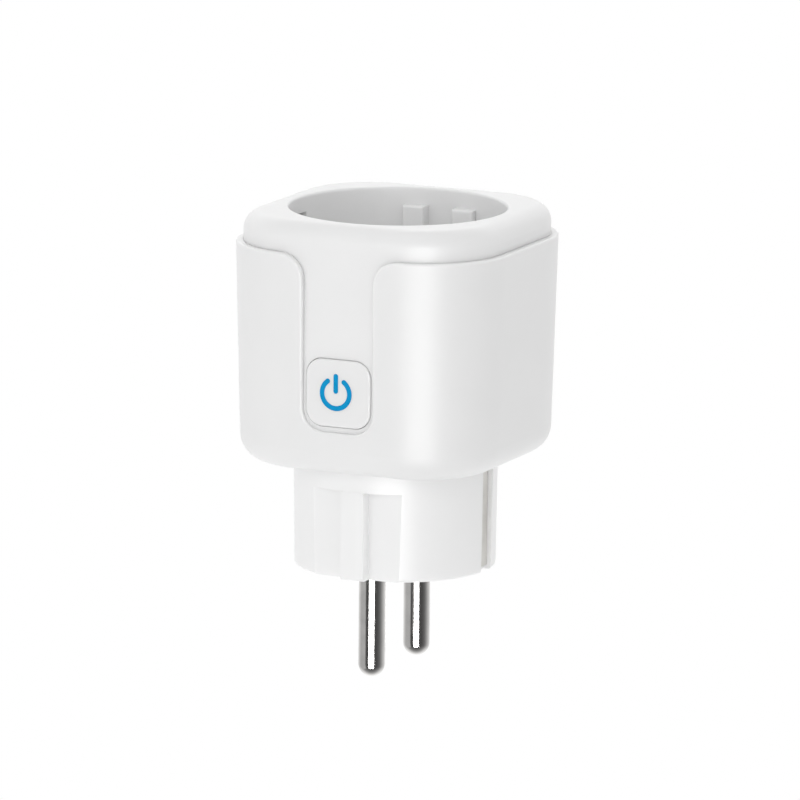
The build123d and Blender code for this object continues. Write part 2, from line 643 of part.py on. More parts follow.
def button_cap():
    """The push button: a hollow cap with a retaining flange and a middle pusher."""
    cap = extrude(front_plane(BUTTON_FACE) * button_outline(0), -(BUTTON_FLANGE_BACK - BUTTON_FACE))
    front = [e for e in cap.edges() if e.bounding_box().max.Y < BUTTON_FACE + SLIP_GAP]
    cap = fillet(front, BUTTON_EDGE_R)
    flange = front_plane(BUTTON_FLANGE_FRONT) * Pos(0, BUTTON_Z) * RectangleRounded(
        BUTTON_FLANGE_SIZE, BUTTON_FLANGE_SIZE, BUTTON_CORNER_R)
    cap += extrude(flange, -(BUTTON_FLANGE_BACK - BUTTON_FLANGE_FRONT))
    hollow_front = BUTTON_FACE + BUTTON_FACE_WALL
    cap -= extrude(button_inside(hollow_front), -(BUTTON_FLANGE_BACK - hollow_front + PAST))
    cap += rod_y(0, (hollow_front, BUTTON_FLANGE_BACK), BUTTON_Z, PUSHER_R)
    for piece in power_icon(INLAY_DEPTH):
        cap -= piece
    return cap


def button_outline(inset):
    """The button's rounded outline about its middle, set in by inset all round."""
    return Pos(0, BUTTON_Z) * RectangleRounded(
        BUTTON_WIDTH - 2 * inset, BUTTON_HEIGHT - 2 * inset, BUTTON_CORNER_R - inset)


def button_inside(y):
    """The outline of the space within the button's walls, at depth y."""
    return front_plane(y) * button_outline(BUTTON_SIDE_WALL)


def button_icon():
    return Compound(children=power_icon(INLAY_DEPTH))


def light_guide():
    """The clear plate inside the button that spreads the lamp's light to the symbol."""
    front = BUTTON_FACE + BUTTON_FACE_WALL
    plate = extrude(button_inside(front), -GUIDE_PLATE)
    return plate - rod_y(0, (front - PAST, front + GUIDE_PLATE + PAST), BUTTON_Z, PUSHER_R + SLIP_GAP)


# --- electronics --------------------------------------------------------------------------------
def power_board():
    """The round-cornered main board, cut out for the posts, risers and contact tails."""
    board = block((-BOARD_HALF, BOARD_HALF), (-BOARD_HALF, BOARD_HALF), (BOARD_BOTTOM, BOARD_TOP))
    board = fillet(board.edges().filter_by(Axis.Z), BOARD_CORNER_R)
    through = (BOARD_BOTTOM - PAST, BOARD_TOP + PAST)
    for x, y in CORNERS:
        board -= post(x, y, through, POST_R + 3 * FIT_GAP)
    riser_x = RISER_HALF + FIT_GAP
    tail_x = (CONTACT_TAIL_X[0] - FIT_GAP, CONTACT_TAIL_X[1] + FIT_GAP)
    tail_half = CONTACT_TAIL_HALF + FIT_GAP
    for side in (-1, 1):
        riser_y = sorted((side * (RISER_Y - RISER_THICK - FIT_GAP), side * (RISER_Y + FIT_GAP)))
        board -= block((-riser_x, riser_x), riser_y, through)
        board -= block(tail_x, (side * PIN_Y - tail_half, side * PIN_Y + tail_half), through)
    return board


def control_board():
    return block((-CONTROL_HALF, CONTROL_HALF), (CONTROL_FRONT, CONTROL_BACK), (BOARD_TOP, UPRIGHT_TOP))


def tactile_switch():
    body = block((-SWITCH_HALF, SWITCH_HALF), (SWITCH_FRONT, CONTROL_FRONT),
                 (BUTTON_Z - SWITCH_HALF, BUTTON_Z + SWITCH_HALF))
    bore = (SWITCH_FRONT - PAST, SWITCH_FRONT + PLUNGER_DEPTH + BUTTON_TRAVEL + SLIP_GAP)
    return body - rod_y(0, bore, BUTTON_Z, PLUNGER_R + SLIP_GAP)


def switch_plunger():
    return rod_y(0, (BUTTON_FLANGE_BACK, SWITCH_FRONT + PLUNGER_DEPTH), BUTTON_Z, PLUNGER_R)


def status_leds():
    """Two side lamps on the control board, in the light guide's line."""
    half_x, depth, half_z = LAMP_SIZE
    return Compound(children=[
        block((x - half_x, x + half_x), (CONTROL_FRONT - depth, CONTROL_FRONT),
              (BUTTON_Z - half_z, BUTTON_Z + half_z))
        for x in (-LAMP_X, LAMP_X)])


def wifi_board():
    return block((-WIFI_HALF, WIFI_HALF), (WIFI_FRONT, WIFI_BACK), (BOARD_TOP, UPRIGHT_TOP))


def wifi_shield():
    """The pressed can over the radio chip, open towards its board."""
    can = block((-SHIELD_X, SHIELD_X), (WIFI_BACK, WIFI_BACK + SHIELD_DEPTH), SHIELD_Z)
    outer = [e for e in can.edges() if e.center().Y > WIFI_BACK + SHIELD_DEPTH / 2 + FIT_GAP]
    can = fillet(outer, CAN_EDGE_R)
    inner = SHIELD_X - SHIELD_WALL
    return can - block((-inner, inner), (WIFI_BACK - FIT_GAP, WIFI_BACK + SHIELD_DEPTH - SHIELD_WALL),
                       (SHIELD_Z[0] + SHIELD_WALL, SHIELD_Z[1] - SHIELD_WALL))


def wifi_antenna():
    """A folded copper trace along the radio board's top edge."""
    y = (WIFI_BACK, WIFI_BACK + ANTENNA_THICK)
    low, high = ANTENNA_Z
    width = ANTENNA_WIDTH
    line = block((ANTENNA_START, ANTENNA_START + width), y, ANTENNA_Z)
    for i in range(ANTENNA_LEGS):
        x = ANTENNA_START + i * ANTENNA_PITCH
        z = (high - width, high) if i % 2 == 0 else (low, low + width)
        line += block((x, x + ANTENNA_PITCH + width), y, z)
        line += block((x + ANTENNA_PITCH, x + ANTENNA_PITCH + width), y, ANTENNA_Z)
    return line


def can_capacitor(x, y, radius, height):
    """An upright electrolytic capacitor with its rolled groove near the base."""
    can = post(x, y, (BOARD_TOP, BOARD_TOP + height), radius)
    can = fillet(edges_at(can, BOARD_TOP + height), CAN_EDGE_R)
    return can - Pos(x, y, BOARD_TOP + CAN_GROOVE_Z) * Torus(radius, CAN_GROOVE_R)


def filter_inductor():
    """A ferrite bobbin: a middle post between two round flanges."""
    inner, _, outer = INDUCTOR_RADII
    full = (BOARD_TOP, BOARD_TOP + INDUCTOR_HEIGHT)
    window = (full[0] + INDUCTOR_FLANGE, full[1] - INDUCTOR_FLANGE)
    core = post(*INDUCTOR_AT, full, outer)
    return core - (post(*INDUCTOR_AT, window, outer + PAST) - post(*INDUCTOR_AT, window, inner))


def inductor_winding():
    inner, wound, _ = INDUCTOR_RADII
    full = (BOARD_TOP, BOARD_TOP + INDUCTOR_HEIGHT)
    coil = post(*INDUCTOR_AT, (full[0] + INDUCTOR_FLANGE, full[1] - INDUCTOR_FLANGE), wound)
    return coil - post(*INDUCTOR_AT, full, inner)


def varistor():
    """A dipped disc that stands on its two legs."""
    disc = rod_x(VARISTOR_X, VARISTOR_YZ[0], BOARD_TOP + VARISTOR_YZ[1], VARISTOR_R)
    disc = fillet(disc.edges().filter_by(GeomType.CIRCLE), VARISTOR_EDGE_R)
    middle = sum(VARISTOR_X) / 2
    foot = (BOARD_TOP, BOARD_TOP + VARISTOR_YZ[1] - VARISTOR_R + VARISTOR_EDGE_R)
    for y in VARISTOR_LEG_Y:
        disc += post(middle, y, foot, VARISTOR_LEG_R)
    return disc


def fusible_resistor():
    body = rod_x(RESISTOR_X, RESISTOR_YZ[0], BOARD_TOP + RESISTOR_YZ[1], RESISTOR_R)
    return fillet(body.edges().filter_by(GeomType.CIRCLE), CAN_EDGE_R)


def flat_chip(x, y, height):
    """A moulded package on the power board, from its spans and its height."""
    return block(x, y, (BOARD_TOP, BOARD_TOP + height))


def board_headers():
    """The connector strips at the feet of the two upright boards, with their pins."""
    width, height = HEADER_SIZE
    start = -HEADER_PITCH * (HEADER_PINS - 1) / 2
    headers = []
    for near, far in ((CONTROL_BACK, CONTROL_BACK + width), (WIFI_FRONT - width, WIFI_FRONT)):
        strip = block((-HEADER_HALF, HEADER_HALF), (near, far), (BOARD_TOP, BOARD_TOP + height))
        for i in range(HEADER_PINS):
            strip += post(start + i * HEADER_PITCH, (near + far) / 2,
                          (BOARD_TOP + height, BOARD_TOP + height + HEADER_PIN_RISE), HEADER_PIN_R)
        headers.append(strip)
    return Compound(children=headers)


# --- relay ----------------------------------------------------------------------------------------
def relay_inside(gap):
    """The spans of the space within the relay cover's walls, set in by gap."""
    inset = RELAY_WALL + gap
    return (RELAY_X[0] + inset, RELAY_X[1] - inset), (RELAY_Y[0] + inset, RELAY_Y[1] - inset)


def relay_base():
    return block(*relay_inside(SLIP_GAP), (BOARD_TOP, RELAY_BASE_TOP))


def relay_cover():
    cover = block(RELAY_X, RELAY_Y, (BOARD_TOP, RELAY_TOP))
    cover = fillet([e for e in cover.edges() if e.center().Z > BOARD_TOP + PAST], RELAY_EDGE_R)
    return cover - block(*relay_inside(0), (BOARD_TOP - PAST, RELAY_TOP - RELAY_WALL))


def relay_core():
    """The iron core and yoke: a post through the coil and an upright behind it."""
    x = (COIL_X - ARMATURE_HALF, COIL_X + ARMATURE_HALF)
    back = (ARMATURE_PIVOT_Y - YOKE_THICK / 2, ARMATURE_PIVOT_Y + YOKE_THICK / 2)
    foot = block(x, (back[0], COIL_Y + CORE_R), (RELAY_BASE_TOP, RELAY_BASE_TOP + YOKE_THICK))
    upright = block(x, back, (RELAY_BASE_TOP, CORE_TOP))
    pivot = rod_x(x, ARMATURE_PIVOT_Y, CORE_TOP, PIVOT_BEAD_R)
    return foot + upright + pivot + post(COIL_X, COIL_Y, (RELAY_BASE_TOP, CORE_TOP), CORE_R)


def relay_coil():
    coil = post(COIL_X, COIL_Y, (RELAY_BASE_TOP + YOKE_THICK, COIL_TOP), COIL_R)
    return coil - post(COIL_X, COIL_Y, (RELAY_BASE_TOP, COIL_TOP + PAST), CORE_R)


def relay_armature():
    """The tilting plate over the coil, with the moving contact on its far end."""
    plate = block((COIL_X - ARMATURE_HALF, COIL_X + ARMATURE_HALF),
                  (ARMATURE_PIVOT_Y - ARMATURE_TAIL, CONTACT_BUTTON_Y + CONTACT_BUTTON_R - FIT_GAP),
                  (ARMATURE_Z, ARMATURE_Z + ARMATURE_THICK))
    button = (ARMATURE_Z - CONTACT_BUTTON_H, ARMATURE_Z)
    return plate + post(COIL_X, CONTACT_BUTTON_Y, button, CONTACT_BUTTON_R)


def relay_terminal():
    """The fixed contact on its bent post."""
    x = (COIL_X - TERMINAL_HALF, COIL_X + TERMINAL_HALF)
    blade = block(x, TERMINAL_Y, (RELAY_BASE_TOP, TERMINAL_Z[1]))
    shelf = block(x, (TERMINAL_REACH, TERMINAL_Y[1]), TERMINAL_Z)
    button = (TERMINAL_Z[1], TERMINAL_Z[1] + CONTACT_BUTTON_H)
    return blade + shelf + post(COIL_X, CONTACT_BUTTON_Y, button, CONTACT_BUTTON_R)


# --- fasteners ------------------------------------------------------------------------------------
def body_screws():
    """Four cross-slotted screws up through the base flange into the housing's posts."""
    long, half, depth = SCREW_SLOT
    slot_z = (CAVITY_BOTTOM - PAST, CAVITY_BOTTOM + depth)
    shank_z = (CAVITY_BOTTOM + SCREW_HEAD_H, FLANGE_TOP + SCREW_DEPTH)
    screws = []
    for x, y in CORNERS:
        head = post(x, y, (CAVITY_BOTTOM, CAVITY_BOTTOM + SCREW_HEAD_H), SCREW_HEAD_R)
        head -= block((x - long, x + long), (y - half, y + half), slot_z)
        head -= block((x - half, x + half), (y - long, y + long), slot_z)
        screws.append(head + post(x, y, shank_z, SCREW_R - THREAD_GAP))
    return Compound(children=screws)


def small_screw(x, z, sign):
    """A small screw whose shank runs the way sign says, from its head's seat at height z."""
    long, half, depth = SMALL_SLOT
    head = post(x, 0, sorted((z, z - sign * SMALL_HEAD_H)), SMALL_HEAD_R)
    slot = sorted((z - sign * (SMALL_HEAD_H - depth), z - sign * (SMALL_HEAD_H + PAST)))
    head -= block((x - long, x + long), (-half, half), slot)
    shank = post(x, 0, sorted((z, z + sign * SMALL_SCREW_LENGTH)), SMALL_SCREW_R - THREAD_GAP)
    return head + shank


def holder_screws():
    ends = (-HOLDER_SCREW_X, HOLDER_SCREW_X)
    return Compound(children=[small_screw(x, HOLDER_BOTTOM, 1) for x in ends])


def carrier_screws():
    ends = (-CARRIER_POST_X, CARRIER_POST_X)
    return Compound(children=[small_screw(x, CARRIER_TOP, -1) for x in ends])


PARTS = {
    "outer_sleeve": outer_sleeve,
    "upper_housing": upper_housing,
    "base_housing": base_housing,
    "pin_carrier": pin_carrier,
    "line_pin": lambda: plug_pin(-PIN_Y),
    "neutral_pin": lambda: plug_pin(PIN_Y),
    "line_riser": lambda: pin_riser(-1),
    "neutral_riser": lambda: pin_riser(1),
    "earth_strip_right": lambda: earth_strip(1),
    "earth_strip_left": lambda: earth_strip(-1),
    "earth_link": earth_link,
    "contact_holder": contact_holder,
    "line_contact": lambda: socket_contact(-1),
    "neutral_contact": lambda: socket_contact(1),
    "shutter": shutter,
    "shutter_spring": shutter_spring,
    "button_cap": button_cap,
    "button_icon": button_icon,
    "light_guide": light_guide,
    "power_board": power_board,
    "control_board": control_board,
    "tactile_switch": tactile_switch,
    "switch_plunger": switch_plunger,
    "status_leds": status_leds,
    "wifi_board": wifi_board,
    "wifi_shield": wifi_shield,
    "wifi_antenna": wifi_antenna,
    "bulk_capacitor": lambda: can_capacitor(-9.9, -5.8, 4.0, 11.5),
    "output_capacitor": lambda: can_capacitor(-9.2, 3.6, 3.15, 9.0),
    "filter_inductor": filter_inductor,
    "inductor_winding": inductor_winding,
    "varistor": varistor,
    "fusible_resistor": fusible_resistor,
    "bridge_rectifier": lambda: flat_chip((-2.4, 2.4), (1.0, 4.4), 2.4),
    "converter_chip": lambda: flat_chip((-2.4, 2.4), (-4.2, -0.4), 1.6),
    "metering_chip": lambda: flat_chip((-10.6, -5.8), (11.4, 15.2), 1.6),
    "board_headers": board_headers,
    "relay_base": relay_base,
    "relay_cover": relay_cover,
    "relay_core": relay_core,
    "relay_coil": relay_coil,
    "relay_armature": relay_armature,
    "relay_terminal": relay_terminal,
    "body_screws": body_screws,
    "holder_screws": holder_screws,
    "carrier_screws": carrier_screws,
}

os.makedirs("parts", exist_ok=True)
for name, make in PARTS.items():
    export_step(make(), f"parts/{name}.step")
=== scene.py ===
"""Looks for the smart plug: materials, a coiled spring for its shutter, studio and camera."""

import json
import math

import bpy
from mathutils import Matrix, Vector


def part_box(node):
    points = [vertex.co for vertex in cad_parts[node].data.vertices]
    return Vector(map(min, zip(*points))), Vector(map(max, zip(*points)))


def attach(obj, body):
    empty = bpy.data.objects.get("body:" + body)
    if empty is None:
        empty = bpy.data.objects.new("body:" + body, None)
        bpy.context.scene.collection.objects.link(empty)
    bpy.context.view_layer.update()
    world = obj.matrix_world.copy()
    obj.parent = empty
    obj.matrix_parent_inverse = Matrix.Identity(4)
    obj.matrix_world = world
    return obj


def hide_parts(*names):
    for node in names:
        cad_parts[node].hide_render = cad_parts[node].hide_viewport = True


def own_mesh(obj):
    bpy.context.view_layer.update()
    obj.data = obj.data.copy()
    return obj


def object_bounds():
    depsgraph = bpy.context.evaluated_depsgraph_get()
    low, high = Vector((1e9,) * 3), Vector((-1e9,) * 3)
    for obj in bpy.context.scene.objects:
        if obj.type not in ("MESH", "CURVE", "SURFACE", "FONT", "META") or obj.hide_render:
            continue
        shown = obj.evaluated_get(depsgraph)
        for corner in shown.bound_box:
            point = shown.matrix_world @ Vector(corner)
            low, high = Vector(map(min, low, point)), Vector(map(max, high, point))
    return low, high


MM = 0.001

# --- view ---------------------------------------------------------------------------------
CAMERA_AZIMUTH = 24.84
CAMERA_ELEVATION = 11.35
CAMERA_ROLL = math.radians(0.51)
CAMERA_DISTANCE = 1.58
CAMERA_LENS = 399.0
CAMERA_REACH = 20
AIM = Vector((0, 0, 30 * MM))
AIM_RIGHT = 0.65 * MM
AIM_UP = -0.53 * MM

# --- studio -------------------------------------------------------------------------------
WHITE_LIGHT = (1, 1, 1, 1)
SKY_SEEN = 1.0
SKY_DIFFUSE = 0.70
FLOOR_GLOW = 1.0
FLOOR_SIZE = 8.0
SOFTBOX_DISTANCE = 1.0
# Greys that the object mirrors, from straight behind it (0) round to the camera's side (1).
BACKDROP_STOPS = ((0.0, 1.15), (0.3, 0.7), (0.5, 0.38), (0.64, 0.2), (0.85, 0.09))
# Strengths that add up over a mirrored ray's height: from and to height, then the strength at each.
BACKDROP_BANDS = (
    (-0.05, 0.2, 1.0, 1.2),
    (-0.4, -0.8, 0.0, 0.5),
    (0.22, 0.42, 0.0, 1.2),
    (0.45, 0.75, 0.0, -0.8),
)

# --- finish -------------------------------------------------------------------------------
WHITE = (0.80, 0.80, 0.80)
# The near-white that edges are lightened towards: partly wear, partly a painted highlight.
WEAR_AND_HIGHLIGHT = (0.97, 0.97, 0.96, 1.0)
GRAIN_SIZE = 0.16 * MM
GRAIN_DEPTH = 0.003 * MM
TONE_SIZE = 14 * MM
PATCH_SIZE = 4 * MM
SKIN_SIZE = 5.5 * MM
SKIN_DEPTH = 0.015 * MM
MOULDED_EDGE = 0.45 * MM
GLOW_THROUGH = 1.5 * MM
# Most of a noise texture's values lie between these two.
NOISE_LOW, NOISE_HIGH = 0.3, 0.7
# How well the soft and the true normal agree on an open face, and on a sharp edge.
OPEN_AGREES, EDGE_AGREES = 0.995, 0.80
WAVE_SCALE = 0.5

# --- the shutter's spring -----------------------------------------------------------------
SPRING_TURNS = 6.5
SPRING_STEPS = 32
WIRE_SIDES = 12
WIRE_RADIUS = 0.17 * MM

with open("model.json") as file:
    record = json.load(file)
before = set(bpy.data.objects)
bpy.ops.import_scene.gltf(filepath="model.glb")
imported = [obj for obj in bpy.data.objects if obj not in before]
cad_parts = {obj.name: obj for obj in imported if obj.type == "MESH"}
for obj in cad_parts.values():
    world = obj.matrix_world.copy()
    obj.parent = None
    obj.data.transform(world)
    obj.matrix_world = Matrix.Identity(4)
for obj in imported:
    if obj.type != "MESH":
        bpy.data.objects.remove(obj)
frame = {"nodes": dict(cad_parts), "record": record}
cad_low, cad_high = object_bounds()
nodes = frame["nodes"]


def heading(azimuth, elevation):
    """The unit vector from the object towards an azimuth, 0 in front (-Y) and 90 at +X."""
    a, e = math.radians(azimuth), math.radians(elevation)
    return Vector((math.sin(a) * math.cos(e), -math.cos(a) * math.cos(e), math.sin(e)))


def tint(colour, gain):
    """The colour made lighter or darker, with an alpha of 1."""
    return (*[min(1.0, c * gain) for c in colour[:3]], 1.0)


def add_object(name, data):
    made = bpy.data.objects.new(name, data)
    bpy.context.scene.collection.objects.link(made)
    return made


# --- node graphs --------------------------------------------------------------------------
class Graph:
    """A node tree, with short calls to add nodes and join them."""

    def __init__(self, owner):
        owner.use_nodes = True
        self.tree = owner.node_tree

    def add(self, kind, inputs=None, **settings):
        node = self.tree.nodes.new(kind)
        for key, value in settings.items():
            setattr(node, key, value)
        for key, value in (inputs or {}).items():
            self.put(node.inputs[key], value)
        return node

    def put(self, socket, value):
        """Joins an output to the socket, or sets its plain value."""
        if isinstance(value, bpy.types.NodeSocket):
            self.tree.links.new(value, socket)
        else:
            socket.default_value = value

    def math(self, operation, a, b=0.0):
        return self.add("ShaderNodeMath", {0: a, 1: b}, operation=operation).outputs["Value"]

    def dot(self, a, b):
        return self.add("ShaderNodeVectorMath", {0: a, 1: b}, operation="DOT_PRODUCT").outputs["Value"]

    def span(self, value, low, high, to_low=0.0, to_high=1.0):
        made = self.add("ShaderNodeMapRange", {
            "Value": value, "From Min": low, "From Max": high, "To Min": to_low, "To Max": to_high})
        return made.outputs["Result"]

    def mix(self, share, a, b):
        return self.add("ShaderNodeMix", {0: share, 6: a, 7: b}, data_type="RGBA").outputs[2]


class Finish(Graph):
    """A material's graph, with the textures that several materials share."""

    def __init__(self, name):
        self.material = bpy.data.materials.new(name)
        super().__init__(self.material)
        self.shader = self.tree.nodes["Principled BSDF"]
        self.place = self.add("ShaderNodeTexCoord").outputs["Object"]

    def set(self, **plain):
        """Plain values on the shader's own sockets, such as metallic or coat_weight."""
        for key, value in plain.items():
            socket = "IOR" if key == "ior" else key.replace("_", " ").title()
            self.shader.inputs[socket].default_value = value

    def surface(self, colour, rough, normal=None):
        self.put(self.shader.inputs["Base Color"], colour)
        self.put(self.shader.inputs["Roughness"], rough)
        if normal is not None:
            self.put(self.shader.inputs["Normal"], normal)

    def scaled(self, size, stretch=(1, 1, 1), shift=0.0):
        """Object coordinates in units of size, so that a texture of scale 1 has that size."""
        made = self.add("ShaderNodeMapping", {
            "Vector": self.place, "Location": (shift, 0.37 * shift, 0.71 * shift),
            "Scale": [1 / (size * s) for s in stretch]})
        return made.outputs["Vector"]

    def noise(self, size, detail=2.0, rough=0.5, stretch=(1, 1, 1), shift=0.0):
        made = self.add("ShaderNodeTexNoise", {
            "Vector": self.scaled(size, stretch, shift), "Scale": 1.0, "Detail": detail, "Roughness": rough})
        return made.outputs["Fac"]

    def spread(self, noise, to_low=0.0, to_high=1.0):
        """A noise stretched over the whole of the given range."""
        return self.span(noise, NOISE_LOW, NOISE_HIGH, to_low, to_high)

    def waves(self, size, axis):
        """Rounded ridges across an axis, about eight to every five sizes."""
        made = self.add("ShaderNodeTexWave", {"Vector": self.scaled(size), "Scale": WAVE_SCALE},
                        wave_type="BANDS", bands_direction=axis, wave_profile="SIN")
        return made.outputs["Fac"]

    def cells(self, size, shift=0.0, **settings):
        made = self.add("ShaderNodeTexVoronoi", {
            "Vector": self.scaled(size, shift=shift), "Scale": 1.0}, **settings)
        return made.outputs["Distance"]

    def bump(self, height, distance, strength, normal=None):
        inputs = {"Height": height, "Distance": distance, "Strength": strength}
        if normal is not None:
            inputs["Normal"] = normal
        return self.add("ShaderNodeBump", inputs).outputs["Normal"]

    def edges(self, radius):
        """1 on edges sharper than radius, and 0 on open faces."""
        soft = self.add("ShaderNodeBevel", {"Radius": radius}, samples=4).outputs["Normal"]
        hard = self.add("ShaderNodeNewGeometry").outputs["Normal"]
        return self.span(self.dot(soft, hard), OPEN_AGREES, EDGE_AGREES)

    def facing(self, axis):
        """How far the surface faces along an axis, -1 to 1."""
        return self.dot(self.add("ShaderNodeNewGeometry").outputs["Normal"], axis)

    def along(self, axis):
        """The object coordinate along X, Y or Z, in metres."""
        return self.add("ShaderNodeSeparateXYZ", {0: self.place}).outputs[axis]


# --- materials ----------------------------------------------------------------------------
def moulded_plastic(name, colour=WHITE, rough=0.42, wear_and_highlight=0.05, tone=0.010):
    """Fine spark-eroded grain, slow changes of tone, and edges lightened: partly wear, partly a painted
    highlight.
    """
    f = Finish(name)
    slow = f.noise(TONE_SIZE, 3.0)
    shade = f.mix(f.spread(slow), tint(colour, 1 - tone), tint(colour, 1 + tone))
    edge = f.edges(MOULDED_EDGE)
    fine = f.noise(GRAIN_SIZE, 2.0, 0.6)
    patchy = f.noise(PATCH_SIZE, 2.0, shift=3.0)
    gloss = f.math("ADD", f.spread(fine, rough - 0.03, rough + 0.03), f.spread(patchy, -0.02, 0.02))
    skin = f.bump(f.noise(SKIN_SIZE, 1.0, shift=9.0), SKIN_DEPTH, 0.4)
    # Edges are mixed towards near-white: partly wear, partly a painted highlight on the rims.
    f.surface(f.mix(f.math("MULTIPLY", edge, wear_and_highlight), shade, WEAR_AND_HIGHLIGHT),
              f.math("SUBTRACT", gloss, f.math("MULTIPLY", edge, 0.06)),
              f.bump(fine, GRAIN_DEPTH, 0.35, skin))
    f.set(ior=1.5, subsurface_weight=0.35, subsurface_scale=GLOW_THROUGH, subsurface_radius=(1.0, 1.0, 1.0))
    return f.material


def filled_plastic(name, colour, fleck, rough=0.5):
    """A filled moulding, with short fibres and flecks that show at its surface."""
    f = Finish(name)
    fibre = f.noise(0.5 * MM, 3.0, 0.6, (3, 1, 1))
    fleck_share = f.span(f.cells(0.45 * MM), 0.22, 0.05, 0.0, 0.6)
    shade = f.mix(f.span(fibre, 0.35, 0.7), tint(colour, 0.9), tint(colour, 1.12))
    shade = f.mix(fleck_share, shade, (*fleck, 1.0))
    edge = f.edges(0.2 * MM)
    f.surface(f.mix(f.math("MULTIPLY", edge, 0.15), shade, tint(colour, 1.5)),
              f.spread(fibre, rough - 0.06, rough + 0.08),
              f.bump(fibre, 0.006 * MM, 0.5))
    return f.material


def plated_metal(name, colour, rough, size=0.12 * MM, stretch=(1, 1, 1), stain=0.93):
    """Plated metal with fine drawn lines, faint stains, and brighter worn edges."""
    f = Finish(name)
    lines = f.noise(size, 3.0, 0.6, stretch)
    spots = f.noise(3.2 * MM, 3.0, shift=5.0)
    edge = f.edges(0.2 * MM)
    shade = f.mix(f.span(spots, 0.35, 0.7), tint(colour, 1.04), tint(colour, stain))
    f.surface(f.mix(f.math("MULTIPLY", edge, 0.35), shade, tint(colour, 1.25)),
              f.math("ADD", f.spread(lines, rough - 0.04, rough + 0.05), f.span(spots, 0.4, 0.7, 0.0, 0.05)),
              f.bump(lines, 0.0015 * MM, 0.5))
    f.set(metallic=1.0)
    return f.material


def wound_wire(name, pitch):
    """Enamelled copper wire in close turns round Z, with painted shade in the grooves between the turns."""
    f = Finish(name)
    groove_shade, crest, burnt = (0.10, 0.025, 0.01, 1), (0.66, 0.26, 0.11, 1), (0.42, 0.12, 0.05, 1)
    turns = f.waves(pitch, "Z")
    uneven = f.noise(1.2 * MM, 3.0)
    # The grooves between turns are painted near-black: painted shade.
    shade = f.mix(f.span(turns, 0.1, 0.9), groove_shade, crest)
    shade = f.mix(f.spread(uneven, 0.0, 0.4), shade, burnt)
    f.surface(shade, f.spread(uneven, 0.22, 0.36), f.bump(turns, pitch * 0.5, 0.8))
    f.set(metallic=0.85, coat_weight=0.6, coat_roughness=0.12)
    return f.material


def circuit_board(name):
    """Green solder mask over glass cloth, with copper tracks and tinned pads under it."""
    f = Finish(name)
    mask_dark, mask_light = (0.012, 0.11, 0.035, 1), (0.02, 0.15, 0.05, 1)
    over_copper, tin = (0.06, 0.30, 0.10, 1), (0.72, 0.72, 0.70, 1)
    weave = f.math("MULTIPLY", f.waves(0.5 * MM, "X"), f.waves(0.5 * MM, "Y"))
    nearest = f.cells(2.6 * MM, feature="F1", distance="CHEBYCHEV")
    second = f.cells(2.6 * MM, feature="F2", distance="CHEBYCHEV")
    tracks = f.span(f.math("SUBTRACT", second, nearest), 0.16, 0.12)
    pads = f.span(f.cells(1.9 * MM, shift=4.0), 0.20, 0.16)
    mask = f.mix(f.span(weave, 0.0, 0.8), mask_dark, mask_light)
    mask = f.mix(f.math("MULTIPLY", tracks, 0.7), mask, over_copper)
    broad_face = f.span(f.math("ABSOLUTE", f.facing((0, 0, 1))), 0.5, 0.9)
    rise = f.math("ADD", f.math("MULTIPLY", tracks, 0.5), pads)
    f.surface(f.mix(pads, mask, tin), f.span(broad_face, 0, 1, 0.5, 0.3), f.bump(rise, 0.03 * MM, 0.6))
    f.put(f.shader.inputs["Metallic"], f.math("MULTIPLY", pads, 0.9))
    return f.material


def chip_resin(name):
    """Black moulded resin with a fine even grain and paler rubbed edges."""
    f = Finish(name)
    dark, light, rubbed = (0.012, 0.012, 0.013, 1), (0.03, 0.03, 0.032, 1), (0.10, 0.10, 0.10, 1)
    grain = f.noise(0.12 * MM, 3.0, 0.65)
    edge = f.edges(0.15 * MM)
    f.surface(f.mix(f.math("MULTIPLY", edge, 0.4), f.mix(f.spread(grain), dark, light), rubbed),
              f.spread(grain, 0.42, 0.6), f.bump(grain, 0.008 * MM, 0.7))
    return f.material


def capacitor_can(name):
    """A dark shrink sleeve with a pale polarity band, and a scored metal top."""
    f = Finish(name)
    sleeve_dark, sleeve_light = (0.012, 0.014, 0.03, 1), (0.02, 0.024, 0.05, 1)
    band_grey, bare_metal = (0.55, 0.56, 0.58, 1), (0.78, 0.78, 0.77, 1)
    wrinkle = f.noise(1.5 * MM, 3.0, 0.5, (1, 1, 3))
    band = f.span(f.facing((-0.8, -0.6, 0)), 0.86, 0.90)
    top = f.span(f.facing((0, 0, 1)), 0.75, 0.85)
    brushed = f.noise(0.1 * MM, 2.0, 0.6, (8, 1, 1))
    shade = f.mix(f.spread(wrinkle), sleeve_dark, sleeve_light)
    shade = f.mix(top, f.mix(band, shade, band_grey), bare_metal)
    f.surface(shade, f.spread(brushed, 0.25, 0.38), f.bump(wrinkle, 0.02 * MM, 0.5))
    f.put(f.shader.inputs["Metallic"], top)
    return f.material


def dipped_coat(name, colour, rough):
    """A dipped or cemented coat: runs, pits and a soft shine."""
    f = Finish(name)
    runs = f.noise(1.6 * MM, 3.0, 0.55, (1, 1, 1.8))
    pits = f.span(f.cells(0.5 * MM), 0.16, 0.04)
    shade = f.mix(f.spread(runs), tint(colour, 0.82), tint(colour, 1.15))
    f.surface(f.mix(f.math("MULTIPLY", pits, 0.5), shade, tint(colour, 0.5)),
              f.spread(runs, rough - 0.05, rough + 0.08),
              f.bump(f.math("SUBTRACT", runs, f.math("MULTIPLY", pits, 0.4)), 0.06 * MM, 0.5))
    return f.material


